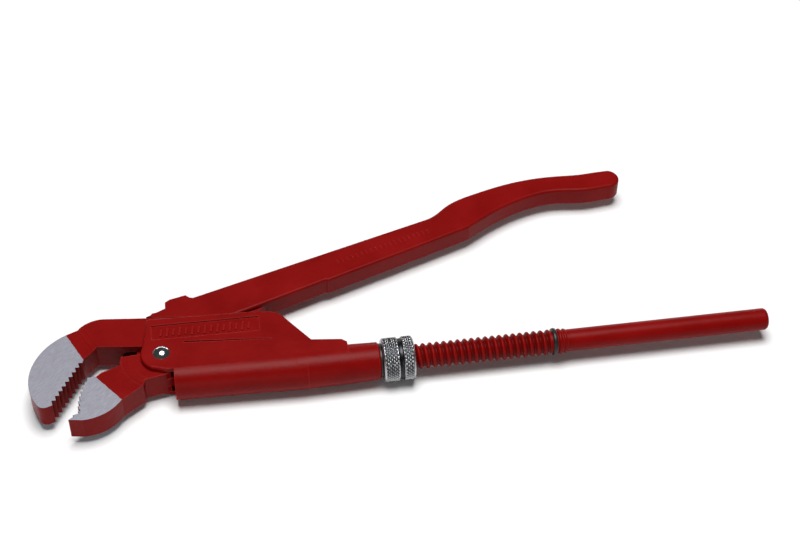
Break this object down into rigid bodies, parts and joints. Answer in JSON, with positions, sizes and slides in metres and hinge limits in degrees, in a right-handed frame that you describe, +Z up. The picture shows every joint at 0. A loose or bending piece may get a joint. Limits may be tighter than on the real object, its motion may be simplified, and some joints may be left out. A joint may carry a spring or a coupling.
{
  "type": "pipe wrench",
  "caption": "Swedish-pattern pipe wrench with toothed S-shaped jaws, a flat handle pivoting on a rivet, a round rod handle and a knurled screw nut.",
  "frame": {"origin": "on the surface the tool lies on, under the centre of its bounding box, with the tool lying on its side", "axes": "+X along the round rod towards its handle end, +Y towards the side the flat handle leans to, +Z up through the thickness of the jaws"},
  "size_m": [0.316, 0.1168, 0.0195],
  "materials": {
    "red_enamel": "satin-gloss enamel over forged steel, bare ground steel on the sides of the jaws",
    "plated_steel": "bright zinc plated, diamond knurled",
    "polished_steel": "polished",
    "blackened_steel": "blackened",
    "spring_steel": "blued spring steel"
  },
  "bodies": {
    "housing": {"housing": "red_enamel", "pivot_rivet": "polished_steel", "leaf_spring": "spring_steel", "thrust_washer": "blackened_steel"},
    "flat_arm": {"flat_arm": "red_enamel"},
    "hook_arm": {"hook_arm": "red_enamel", "stop_ring": "blackened_steel"},
    "nut": {"adjusting_nut": "plated_steel"}
  },
  "joints": [
    {"name": "handle_pivot", "type": "hinge", "parent": "housing", "child": "flat_arm", "pos_m": [-0.1027, -0.02925, 0.0094], "axis": [0, 0, 1], "range_deg": [-2, 8]},
    {"name": "jaw_slide", "type": "slide", "parent": "housing", "child": "hook_arm", "axis": [-1, 0, 0], "range_m": [-0.0025, 0.038]},
    {"name": "nut_spin", "type": "hinge", "parent": "housing", "child": "nut", "pos_m": [-0.00435, -0.03955, 0.0094], "axis": [1, 0, 0], "range_deg": [-301, 4561]}
  ],
  "couplings": [
    {"joint": "nut_spin", "follows": "jaw_slide", "rad_per_m": 2094.4}
  ]
}
